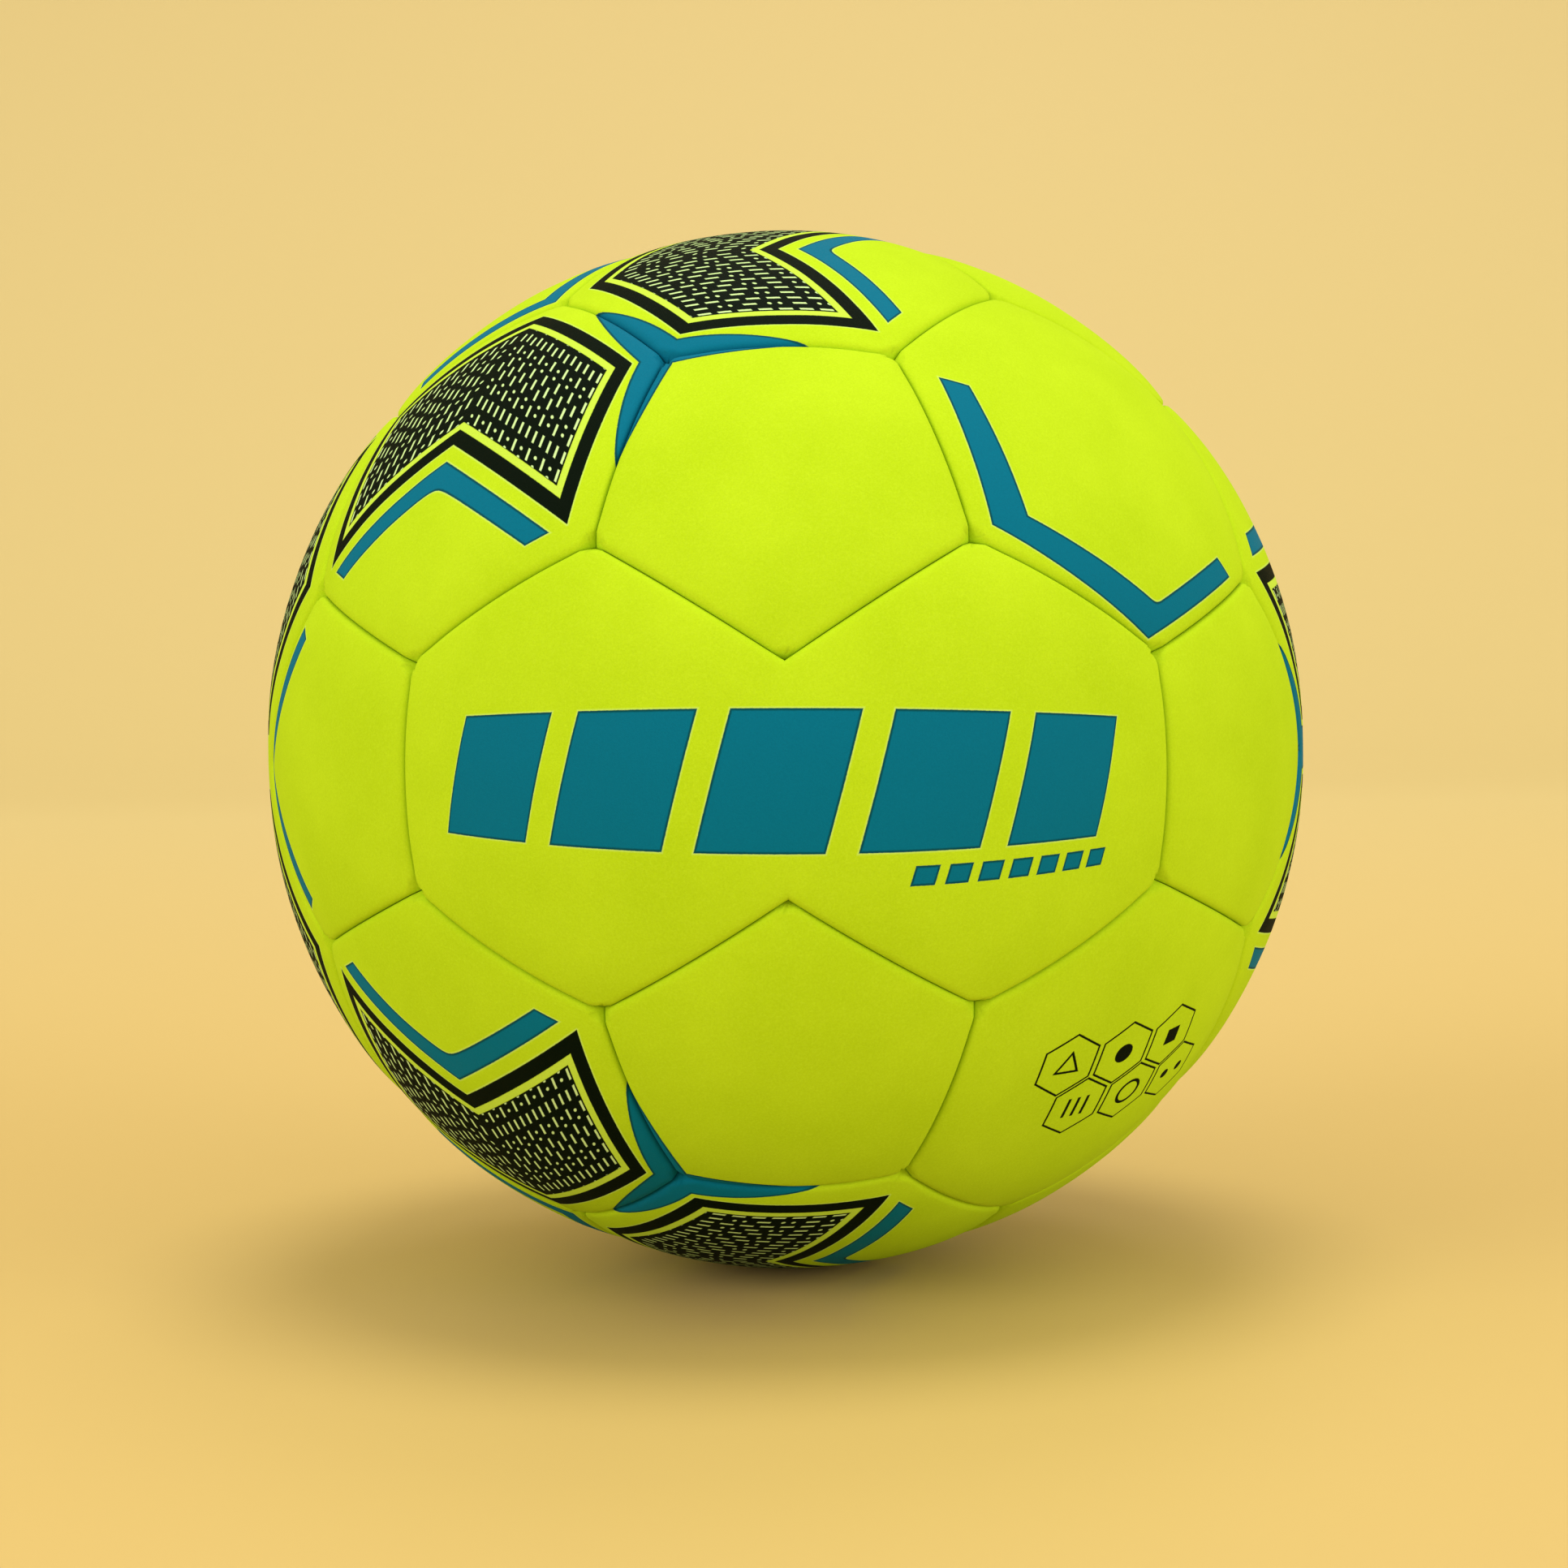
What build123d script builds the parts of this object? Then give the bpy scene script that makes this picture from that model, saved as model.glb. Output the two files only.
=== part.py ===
"""An inflated 26-panel soccer ball: felt cover panels, foam backings, lining, bladder and valve."""
from itertools import combinations
from math import cos, degrees, pi, sin, sqrt
import os

from build123d import *

# ---- driving dimensions, in millimetres ----
ball_radius = 110.0  # crown of the inflated ball, 691 mm round

felt_thickness = 1.6  # brushed felt with its film
foam_thickness = 3.6
lining_thickness = 1.0
bladder_thickness = 0.9
bond_line = 0.1  # glue between two layers

seam_gap = 0.3  # between two neighbouring panels
corner_radius = 2.5  # of a panel's outline, seen from outside
edge_radius = 1.2  # where a panel's face rolls into the seam
thread_diameter = 0.8
thread_clearance = 0.1  # around the thread, between the seam flanges and the lining
thread_end_gap = 1.6  # from the end of a seam's thread to the seam corner

neck_radius = 4.0  # valve, where it shows in the cover
neck_clearance = 0.2  # in the cover, the foam and the lining
neck_recess = 0.5  # below the crown of the cover
flange_radius = 14.0  # valve flange, bonded inside the bladder
flange_thickness = 1.2
core_radius = 3.0  # self-sealing plug
core_length = 9.0
core_clearance = 0.05  # round the plug in its pocket
pocket_wall = 2.0  # of the valve body round the plug
pocket_lip = 1.0  # holds the plug in from below
needle_radius = 1.0  # channel through the plug
entry_radius = 1.3  # lead-in above the plug and hole below it

# ---- radii that follow, from the outside in ----
foam_outer = ball_radius - felt_thickness - bond_line
foam_inner = foam_outer - foam_thickness
lining_outer = foam_inner - bond_line
lining_inner = lining_outer - lining_thickness
bladder_outer = lining_inner - bond_line
bladder_inner = bladder_outer - bladder_thickness
thread_path = lining_outer + thread_clearance + thread_diameter / 2
seam_flange_inner = thread_path + thread_diameter / 2 + thread_clearance
valve_flange_outer = bladder_inner - bond_line
valve_flange_inner = valve_flange_outer - flange_thickness
neck_top = ball_radius - neck_recess
pocket_radius = core_radius + core_clearance
pocket_top = valve_flange_inner
core_top = pocket_top - core_clearance
pocket_bottom = core_top - core_length - core_clearance
valve_bottom = pocket_bottom - pocket_lip
valve_opening = neck_radius + neck_clearance

# ---- how the cover is divided ----
# A truncated icosahedron: pentagons centred on an icosahedron's corners, hexagons on its faces.
# Six pairs of hexagons are cut as one double panel, centred on the axes.
golden = (1 + sqrt(5)) / 2

pentagon_centres = {
    "front_top": (0, -golden, 1),
    "front_bottom": (0, -golden, -1),
    "back_top": (0, golden, 1),
    "back_bottom": (0, golden, -1),
    "right_front": (golden, -1, 0),
    "right_back": (golden, 1, 0),
    "left_front": (-golden, -1, 0),
    "left_back": (-golden, 1, 0),
    "top_right": (1, 0, golden),
    "top_left": (-1, 0, golden),
    "bottom_right": (1, 0, -golden),
    "bottom_left": (-1, 0, -golden),
}
pentagon_axes = {name: Vector(*centre).normalized() for name, centre in pentagon_centres.items()}

double_directions = {  # axis of the panel, and the direction it is long in
    "front": ((0, -1, 0), (1, 0, 0)),
    "back": ((0, 1, 0), (1, 0, 0)),
    "right": ((1, 0, 0), (0, 0, 1)),
    "left": ((-1, 0, 0), (0, 0, 1)),
    "top": ((0, 0, 1), (0, 1, 0)),
    "bottom": ((0, 0, -1), (0, 1, 0)),
}

neighbour_cosine = 1 / sqrt(5)  # between the axes of two neighbouring pentagons


def neighbours(axis):
    return [other for other in pentagon_axes.values() if abs(axis.dot(other) - neighbour_cosine) < 0.01]


def seam_corner(axis, other):
    """Direction of the seam corner nearer to the first of two neighbouring pentagons."""
    return (axis * 2 + other).normalized()


def panel_plane(axis, towards):
    """Plane at the ball's centre that looks out along a panel's axis."""
    return Plane(origin=(0, 0, 0), x_dir=towards - axis * towards.dot(axis), z_dir=axis)


pentagon_planes = {name: panel_plane(axis, neighbours(axis)[0]) for name, axis in pentagon_axes.items()}

hexagon_planes = {}
for height, z in (("upper", 1), ("lower", -1)):
    for depth, y in (("front", -1), ("back", 1)):
        for side, x in (("left", -1), ("right", 1)):
            centre = Vector(x, y, z).normalized()
            nearest = sorted(pentagon_axes.values(), key=centre.dot)[-3:]
            corner = seam_corner(nearest[0], nearest[1])
            hexagon_planes[f"{height}_{depth}_{side}"] = panel_plane(centre, corner)

double_planes = {
    name: panel_plane(Vector(*axis), Vector(*along)) for name, (axis, along) in double_directions.items()
}


# ---- panels, modelled once round +Z ----
# An outline is the directions of its corners, anticlockwise seen from outside, as points one unit up.
def regular_outline(count, reach):
    turns = [2 * pi * number / count for number in range(count)]
    return [Vector(reach * cos(turn), reach * sin(turn), 1) for turn in turns]


pentagon_outline = regular_outline(5, 2 / (2 * sqrt(5) + 1))
hexagon_outline = regular_outline(6, 2 / (sqrt(3) * golden**2))
double_quarter = [
    (0, 1 / (3 * golden)),
    (golden / (2 * golden + 1), 2 / (2 * golden + 1)),
    (2 * golden / (golden + 2), 1 / (golden + 2)),
]
double_half_outline = [Vector(x, -y, 1) for x, y in double_quarter]
double_half_outline += [Vector(x, y, 1) for x, y in reversed(double_quarter)]


def shell_piece(outline, inset, outer, inner):
    """Part of a ball's shell inside an outline, whose side walls stand along the radii."""
    is_double = outline is double_half_outline
    with BuildPart() as piece:
        Sphere(outer, rotation=(0, 90, 0))
        Sphere(inner, rotation=(0, 90, 0), mode=Mode.SUBTRACT)
        for start, end in zip(outline, outline[1:] + ([] if is_double else outline[:1])):
            seam_plane = Plane(origin=(0, 0, 0), z_dir=end.cross(start))
            split(bisect_by=seam_plane.offset(-inset), keep=Keep.BOTTOM)
        if is_double:
            split(bisect_by=Plane.YZ, keep=Keep.TOP)
            mirror(about=Plane.YZ)
        standing = piece.edges().filter_by(lambda edge: abs((edge @ 0).length - (edge @ 1).length) > 1)
        fillet(standing, corner_radius)
    return piece.part


def felt_panel(outline):
    """Felt face with its edges turned in, as a shallow tray with rounded rims."""
    inset = seam_gap / 2 + felt_thickness
    hollow_outer = ball_radius - felt_thickness
    hollow_inner = seam_flange_inner - felt_thickness
    inside = shell_piece(outline, inset, hollow_outer, hollow_inner)
    with BuildPart() as panel:
        add(shell_piece(outline, seam_gap / 2, ball_radius, seam_flange_inner))
        rim = panel.edges().filter_by(lambda edge: abs((edge @ 0.5).length - ball_radius) < 0.01)
        fillet(rim, edge_radius)
        add(inside, mode=Mode.SUBTRACT)
    return panel.part


def foam_backing(outline):
    inset = seam_gap / 2 + felt_thickness + bond_line
    return shell_piece(outline, inset, foam_outer, foam_inner)


def cut_round_hole(radius):
    """Hole on the valve's axis through the part that is being built."""
    with BuildSketch(valve_plane) as hole:
        Circle(radius)
    extrude(hole.sketch, amount=ball_radius, mode=Mode.SUBTRACT)


def round_layer(outer, inner, hole_radius):
    with BuildPart() as layer:
        Sphere(outer)
        Sphere(inner, mode=Mode.SUBTRACT)
        cut_round_hole(hole_radius)
    return layer


def valve_cylinder(radius, bottom, top, mode=Mode.ADD):
    """Cylinder on the valve's axis, between two distances from the ball's centre."""
    with BuildSketch(valve_plane.offset(bottom)) as section:
        Circle(radius)
    extrude(section.sketch, amount=top - bottom, mode=mode)


os.makedirs("parts", exist_ok=True)

panel_kinds = {
    "pentagon": (pentagon_outline, pentagon_planes),
    "hexagon": (hexagon_outline, hexagon_planes),
    "double": (double_half_outline, double_planes),
}
valve_plane = Plane(origin=(0, 0, 0), x_dir=(1, 0, 0), z_dir=(0, 1, 0))

for kind, (outline, planes) in panel_kinds.items():
    panel_shape = felt_panel(outline)
    for place, plane in planes.items():
        with BuildPart() as panel:
            with Locations(plane.location):
                add(panel_shape)
            if (kind, place) == ("double", "back"):
                cut_round_hole(valve_opening)
        panel.part.label = f"{kind}_panel_{place}"
        export_step(panel.part, f"parts/{kind}_panel_{place}.step")

    backing_shape = foam_backing(outline)
    with BuildPart() as backings:
        for place, plane in planes.items():
            with Locations(plane.location):
                add(backing_shape)
        if kind == "double":
            cut_round_hole(valve_opening)
    backings.part.label = f"{kind}_foam_backings"
    export_step(backings.part, f"parts/{kind}_foam_backings.step")

# ---- seam thread: one run under each seam, between the turned-in edges and the lining ----
seam_corners = [seam_corner(axis, other) for axis in pentagon_axes.values() for other in neighbours(axis)]
seam_angle = min(a.get_angle(b) for a in seam_corners[:1] for b in seam_corners[1:])
thread_arc = seam_angle - 2 * degrees(thread_end_gap / thread_path)

with BuildPart() as thread_run:  # over the ball's top, along X
    with BuildSketch(Plane.YZ):
        with Locations((0, thread_path)):
            Circle(thread_diameter / 2)
    revolve(axis=Axis.Y, revolution_arc=thread_arc)
centred_run = thread_run.part.rotate(Axis.Y, -thread_arc / 2)

seam_planes = []
for start, end in combinations(seam_corners, 2):
    if start.get_angle(end) > seam_angle + 1:
        continue
    middle = (start + end).normalized()
    inside_double = any(middle.dot(plane.z_dir) > 0.999 for plane in double_planes.values())
    if not inside_double:
        seam_planes.append(panel_plane(middle, end))

with BuildPart() as seam_thread:
    for plane in seam_planes:
        with Locations(plane.location):
            add(centred_run)
seam_thread.part.label = "seam_thread"
export_step(seam_thread.part, "parts/seam_thread.step")

# ---- lining and bladder ----
lining = round_layer(lining_outer, lining_inner, valve_opening)
lining.part.label = "lining"
export_step(lining.part, "parts/lining.step")

bladder = round_layer(bladder_outer, bladder_inner, neck_radius + bond_line)
bladder.part.label = "bladder"
export_step(bladder.part, "parts/bladder.step")

# ---- valve: a rubber body bonded inside the bladder, and the plug that seals round the needle ----
with BuildPart() as valve_body:
    Sphere(valve_flange_outer)
    Sphere(valve_flange_inner, mode=Mode.SUBTRACT)
    valve_cylinder(flange_radius, 0, ball_radius, Mode.INTERSECT)
    valve_cylinder(pocket_radius + pocket_wall, valve_bottom, valve_flange_outer - flange_thickness / 2)
    valve_cylinder(neck_radius, valve_flange_outer - flange_thickness / 2, neck_top)
    valve_cylinder(pocket_radius, pocket_bottom, pocket_top, Mode.SUBTRACT)
    valve_cylinder(entry_radius, valve_bottom, neck_top, Mode.SUBTRACT)
valve_body.part.label = "valve_body"
export_step(valve_body.part, "parts/valve_body.step")

with BuildPart() as valve_core:
    valve_cylinder(core_radius, core_top - core_length, core_top)
    valve_cylinder(needle_radius, core_top - core_length, core_top, Mode.SUBTRACT)
valve_core.part.label = "valve_core"
export_step(valve_core.part, "parts/valve_core.step")

print("seam threads:", len(seam_planes))
print("needle entry: top", neck_top, "length", round(neck_top - pocket_top, 3))
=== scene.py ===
import math

import bpy
import numpy as np
from mathutils import Matrix, Vector


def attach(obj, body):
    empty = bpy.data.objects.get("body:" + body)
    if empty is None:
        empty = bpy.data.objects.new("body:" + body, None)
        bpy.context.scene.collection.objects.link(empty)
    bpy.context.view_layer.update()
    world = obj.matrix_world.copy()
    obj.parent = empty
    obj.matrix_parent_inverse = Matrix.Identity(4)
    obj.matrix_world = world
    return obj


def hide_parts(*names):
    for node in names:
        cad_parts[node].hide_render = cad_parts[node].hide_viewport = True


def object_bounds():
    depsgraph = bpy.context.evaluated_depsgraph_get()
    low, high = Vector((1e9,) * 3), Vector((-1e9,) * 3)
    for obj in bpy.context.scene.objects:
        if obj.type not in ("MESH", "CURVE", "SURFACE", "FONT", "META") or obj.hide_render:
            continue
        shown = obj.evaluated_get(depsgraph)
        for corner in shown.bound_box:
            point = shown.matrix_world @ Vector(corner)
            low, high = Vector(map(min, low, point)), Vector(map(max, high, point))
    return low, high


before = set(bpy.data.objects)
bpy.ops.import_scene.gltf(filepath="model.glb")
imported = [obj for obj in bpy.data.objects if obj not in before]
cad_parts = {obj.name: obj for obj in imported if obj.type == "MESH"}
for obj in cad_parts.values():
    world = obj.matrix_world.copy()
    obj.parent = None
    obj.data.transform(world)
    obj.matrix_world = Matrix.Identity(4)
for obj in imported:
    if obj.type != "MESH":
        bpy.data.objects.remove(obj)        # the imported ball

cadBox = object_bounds()
ballRadius = (cadBox[1].z - cadBox[0].z) / 2
mm = 0.001
bpy.ops.object.select_all(action="DESELECT")
print("frame loaded, ball radius", round(ballRadius, 4))

# The cover is a truncated icosahedron: pentagons stand on an icosahedron's corners.
golden = (1 + math.sqrt(5)) / 2
pentagonCentres = {
    "front_top": (0, -golden, 1),
    "front_bottom": (0, -golden, -1),
    "back_top": (0, golden, 1),
    "back_bottom": (0, golden, -1),
    "right_front": (golden, -1, 0),
    "right_back": (golden, 1, 0),
    "left_front": (-golden, -1, 0),
    "left_back": (-golden, 1, 0),
    "top_right": (1, 0, golden),
    "top_left": (-1, 0, golden),
    "bottom_right": (1, 0, -golden),
    "bottom_left": (-1, 0, -golden),
}
pentagons = {name: Vector(centre).normalized() for name, centre in pentagonCentres.items()}
singleHexagons = {  # each hexagon panel lies between three pentagons
    "upper_front_left": ("front_top", "left_front", "top_left"),
    "upper_front_right": ("front_top", "right_front", "top_right"),
    "upper_back_left": ("back_top", "left_back", "top_left"),
    "upper_back_right": ("back_top", "right_back", "top_right"),
    "lower_front_left": ("front_bottom", "left_front", "bottom_left"),
    "lower_front_right": ("front_bottom", "right_front", "bottom_right"),
    "lower_back_left": ("back_bottom", "left_back", "bottom_left"),
    "lower_back_right": ("back_bottom", "right_back", "bottom_right"),
}
doubleHexagons = {  # two hexagons cut as one panel, either side of the first two pentagons
    "front": ("front_top", "front_bottom", "left_front", "right_front"),
    "back": ("back_top", "back_bottom", "left_back", "right_back"),
    "left": ("left_front", "left_back", "bottom_left", "top_left"),
    "right": ("right_front", "right_back", "bottom_right", "top_right"),
    "top": ("top_left", "top_right", "front_top", "back_top"),
    "bottom": ("bottom_left", "bottom_right", "front_bottom", "back_bottom"),
}


def cornerBy(near, far):  # direction of the seam corner nearer to the first of two pentagons
    return (2 * pentagons[near] + pentagons[far]).normalized()


def turnTo(centre, towards):  # turns +Z to a centre and +X towards a second direction
    across = centre.cross(towards).normalized()
    return Matrix((across.cross(centre), across, centre)).transposed()


# Panels: each outline starts as a flat polygon above the ball's middle, then is cast onto the ball.
panelShape = {
    "cuts": 34,              # cuts along each side of a fan
    "seamGap": 0.2,          # mm between two neighbouring panels
    "rows": (1.8, 0.85, 0.3),    # mm from the seam to each row of narrow faces, the far one first
    "crown": 0.9,            # mm that the middle stands above the CAD sphere
    "puff": 0.95,            # mm that the surface falls from the middle to the seam
    "puffReach": 6.5,        # mm from a seam over which its pull fades
    "cornerPull": 1.35,      # how much more the surface falls where seams meet
    "edgeRound": 1.25,       # mm, radius of the turned edge
    "spill": 1.2,            # slope of the felt beyond its seam
    "cornerRound": 3.0,
    "foldRadius": 105.35,    # mm from the ball's middle to the end of the turned edge
    "felt": 1.1,             # mm thick
    "slackReach": 8,         # mm from a seam over which the felt comes loose
    "ripple": 0.28,
    "rippleSize": 0.016,     # m
    "fill": 1.0,
}
pentagonReach = 2 / (2 * math.sqrt(5) + 1)   # tangent from a panel's middle to its corner
hexagonReach = 2 / (math.sqrt(3) * golden ** 2)
crownRadius = ballRadius + panelShape["crown"] * mm


def selectFaces(panel, wanted):
    mesh = panel.data
    mesh.vertices.foreach_set("select", [False] * len(mesh.vertices))
    mesh.edges.foreach_set("select", [False] * len(mesh.edges))
    mesh.polygons.foreach_set("select", [wanted(face) for face in mesh.polygons])


def onlySelected(piece):
    bpy.ops.object.select_all(action="DESELECT")
    piece.select_set(True)
    bpy.context.view_layer.objects.active = piece


def modify(piece, kind, **settings):
    onlySelected(piece)
    modifier = piece.modifiers.new(kind, kind)
    for name, value in settings.items():
        setattr(modifier, name, value)
    bpy.ops.object.modifier_apply(modifier=modifier.name)


def faceOutwards(panel):  # an open shell has no inside of its own, so its middle decides
    bpy.ops.object.mode_set(mode="EDIT")
    bpy.ops.mesh.select_mode(type="FACE")
    bpy.ops.mesh.select_all(action="SELECT")
    bpy.ops.mesh.normals_make_consistent(inside=False)
    bpy.ops.object.mode_set(mode="OBJECT")
    if sum(face.normal.dot(face.center) * face.area for face in panel.data.polygons) < 0:
        bpy.ops.object.mode_set(mode="EDIT")
        bpy.ops.mesh.flip_normals()
        bpy.ops.object.mode_set(mode="OBJECT")


def polygonFan(sides, reach, lean=0.0):
    gapShare = 1 - panelShape["seamGap"] * mm / 2 / (reach * ballRadius * math.cos(math.pi / sides))
    bpy.ops.mesh.primitive_circle_add(vertices=sides, radius=reach * ballRadius * gapShare,
                                      fill_type="TRIFAN", location=(0, 0, ballRadius))
    fan = bpy.context.object
    bpy.ops.object.transform_apply(location=True, rotation=True, scale=True)
    fan.rotation_euler = (0, lean, 0 if lean else -math.pi / 2)
    bpy.ops.object.transform_apply(location=True, rotation=True, scale=True)
    return fan


def flatPanel(kind):
    if kind == "double":
        lean = math.atan(hexagonReach * math.cos(math.pi / 6))
        left = polygonFan(6, hexagonReach, -lean)
        right = polygonFan(6, hexagonReach, lean)
        left.select_set(True)
        bpy.ops.object.join()
        panel = right
        bpy.ops.object.mode_set(mode="EDIT")
        bpy.ops.mesh.select_all(action="SELECT")
        bpy.ops.mesh.remove_doubles(threshold=panelShape["seamGap"] * mm * 2)
        bpy.ops.object.mode_set(mode="OBJECT")
    else:
        panel = polygonFan(*((5, pentagonReach) if kind == "pentagon" else (6, hexagonReach)))
    bpy.ops.object.mode_set(mode="EDIT")
    for width in panelShape["rows"]:
        bpy.ops.mesh.select_all(action="SELECT")
        bpy.ops.mesh.inset(thickness=width * mm, use_boundary=True, use_even_offset=True)
    bpy.ops.object.mode_set(mode="OBJECT")
    shortest = 3 * max(panelShape["rows"]) * mm   # the rows' own ends are shorter than this
    mesh = panel.data
    bpy.ops.object.mode_set(mode="EDIT")
    bpy.ops.mesh.select_all(action="DESELECT")
    bpy.ops.mesh.select_mode(type="EDGE")
    bpy.ops.object.mode_set(mode="OBJECT")
    corners = [vertex.co.copy() for vertex in mesh.vertices]
    lengths = [(corners[edge.vertices[0]] - corners[edge.vertices[1]]).length for edge in mesh.edges]
    mesh.edges.foreach_set("select", [length > shortest for length in lengths])
    bpy.ops.object.mode_set(mode="EDIT")
    bpy.ops.mesh.subdivide(number_cuts=panelShape["cuts"])
    bpy.ops.object.mode_set(mode="OBJECT")
    faceOutwards(panel)
    modify(panel, "CAST", cast_type="SPHERE", factor=1, radius=0, size=crownRadius, use_radius_as_size=False)
    panel.name = kind + "Pattern"
    return panel


farAway = 999.0   # mm


def seamDistances(places, outlines):  # mm from each place to each seam of the panel that it is in
    directions = places / np.linalg.norm(places, axis=1)[:, None]
    middles = np.array([sum(outline, Vector()).normalized() for outline in outlines])
    half = np.argmax(directions @ middles.T, axis=1)
    distances = np.zeros((len(places), max(len(outline) for outline in outlines)))
    for which, outline in enumerate(outlines):
        mine = half == which
        own = directions[mine]
        sides = [side for side in zip(outline, outline[1:] + outline[:1])
                 if len(outlines) == 1 or not all(any((end - other).length < 1e-4 for other in outlines[1 - which])
                                                  for end in side)]
        columns = np.full((len(own), distances.shape[1]), farAway)   # a shared side stays out of reach
        for column, (start, end) in enumerate(sides):
            start, end = np.array(start), np.array(end)
            normal = np.cross(start, end)
            normal /= np.linalg.norm(normal)
            line = np.abs(own @ normal)
            beyondStart = own @ np.cross(normal, start) < 0
            beyondEnd = own @ np.cross(normal, end) > 0
            line = np.where(beyondStart, np.linalg.norm(own - start, axis=1), line)
            line = np.where(beyondEnd, np.linalg.norm(own - end, axis=1), line)
            columns[:, column] = line * ballRadius / mm
        distances[mine] = columns
    return distances


def edgeDrop(distance, radius):  # how far a rounded edge has dropped at a distance from its seam
    inside = np.clip(radius - distance, 0, radius)
    return radius - np.sqrt(radius ** 2 - inside ** 2) + np.clip(-distance, 0, None) * panelShape["spill"]


valveOpening = {
    "radius": 4.2,
    "edgeRound": 0.9,
    "refined": 9.0,     # mm, radius within which the felt's mesh is made finer
    "cuts": 2,
}


def shapePanel(name, pattern, turn, outlines, withValve=False):
    onlySelected(pattern)
    bpy.ops.object.duplicate(linked=False)
    panel = bpy.context.object
    panel.name = name
    panel.data.name = name
    panel.matrix_world = turn.to_4x4()
    bpy.ops.object.transform_apply(location=True, rotation=True, scale=True)
    if withValve:
        selectFaces(panel, lambda face: math.hypot(face.center.x, face.center.z) < valveOpening["refined"] * mm)
        bpy.ops.object.mode_set(mode="EDIT")
        bpy.ops.mesh.subdivide(number_cuts=valveOpening["cuts"])
        bpy.ops.object.mode_set(mode="OBJECT")
        modify(panel, "CAST", cast_type="SPHERE", factor=1, radius=0, size=crownRadius, use_radius_as_size=False)
    mesh = panel.data
    places = np.zeros(len(mesh.vertices) * 3)
    mesh.vertices.foreach_get("co", places)
    places = places.reshape(-1, 3)
    distances = seamDistances(places, outlines)
    rounding = panelShape["cornerRound"]
    crowding = np.sqrt((np.clip(rounding - distances, 0, None) ** 2).sum(axis=1))
    nearest = np.where(crowding > 0, rounding - crowding, distances.min(axis=1))
    drop = edgeDrop(nearest, panelShape["edgeRound"])
    pull = np.exp(-distances / panelShape["puffReach"]).sum(axis=1)
    drop += panelShape["puff"] * np.clip(pull, 0, panelShape["cornerPull"])
    if withValve:
        fromRim = np.hypot(places[:, 0], places[:, 2]) / mm - valveOpening["radius"]
        drop = np.maximum(drop, edgeDrop(np.clip(fromRim, 0, None), valveOpening["edgeRound"]))
    deepest = drop.max()
    sunk = panel.vertex_groups.new(name="sunk")
    loose = panel.vertex_groups.new(name="loose")
    free = 1 - np.exp(-distances.min(axis=1) / panelShape["slackReach"])
    for index, (depth, slack) in enumerate(zip(drop / deepest, free)):
        sunk.add([index], float(depth), "REPLACE")
        loose.add([index], float(slack), "REPLACE")
    modify(panel, "DISPLACE", direction="NORMAL", strength=-deepest * mm, mid_level=0, vertex_group="sunk")
    modify(panel, "DISPLACE", direction="NORMAL", strength=panelShape["ripple"] * mm, mid_level=0.5,
           texture=rippleTexture, texture_coords="LOCAL", vertex_group="loose")
    bpy.ops.object.mode_set(mode="EDIT")
    bpy.ops.mesh.select_mode(type="EDGE")
    bpy.ops.mesh.select_all(action="DESELECT")
    bpy.ops.mesh.select_non_manifold()   # the open rim
    foldShare = panelShape["foldRadius"] * mm / (crownRadius - (panelShape["puff"] + panelShape["edgeRound"]) * mm)
    bpy.ops.mesh.extrude_edges_move()
    bpy.ops.transform.resize(value=(foldShare,) * 3, center_override=(0, 0, 0))
    bpy.ops.object.mode_set(mode="OBJECT")
    faceOutwards(panel)
    modify(panel, "SOLIDIFY", thickness=panelShape["felt"] * mm, offset=-1, use_rim=True)
    if withValve:
        bpy.ops.object.select_all(action="DESELECT")
        bpy.ops.mesh.primitive_cylinder_add(vertices=72, radius=valveOpening["radius"] * mm, depth=30 * mm,
                                            location=(0, ballRadius, 0), rotation=(math.pi / 2, 0, 0))
        punch = bpy.context.object
        modify(panel, "BOOLEAN", operation="DIFFERENCE", object=punch, solver="EXACT")
        onlySelected(punch)
        bpy.ops.object.delete()
    panel.vertex_groups.clear()
    onlySelected(panel)
    bpy.ops.object.shade_smooth()
    return panel


rippleTexture = bpy.data.textures.new("ripple", "CLOUDS")
rippleTexture.noise_scale = panelShape["rippleSize"]
rippleTexture.noise_depth = 1

patterns = {kind: flatPanel(kind) for kind in ("pentagon", "hexagon", "double")}
panels = {}
for place, middle in pentagons.items():
    others = sorted(pentagons, key=lambda name: (pentagons[name] - middle).length)[1:6]
    along = cornerBy(place, others[0])
    turn = turnTo(middle, along)
    ring = [turn @ Matrix.Rotation(math.tau * step / 5, 3, "Z") @ (turn.inverted() @ along) for step in range(5)]
    panel = shapePanel("pentagonPanel_" + place, patterns["pentagon"], turn, [ring])
    panels["pentagon_panel_" + place] = (middle, panel)


def hexagonRing(names):
    middle = sum((pentagons[name] for name in names), Vector()).normalized()
    turn = turnTo(middle, cornerBy(names[0], names[1]))
    corner = turn.inverted() @ cornerBy(names[0], names[1])
    return middle, turn, [turn @ Matrix.Rotation(math.tau * step / 6, 3, "Z") @ corner for step in range(6)]


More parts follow.
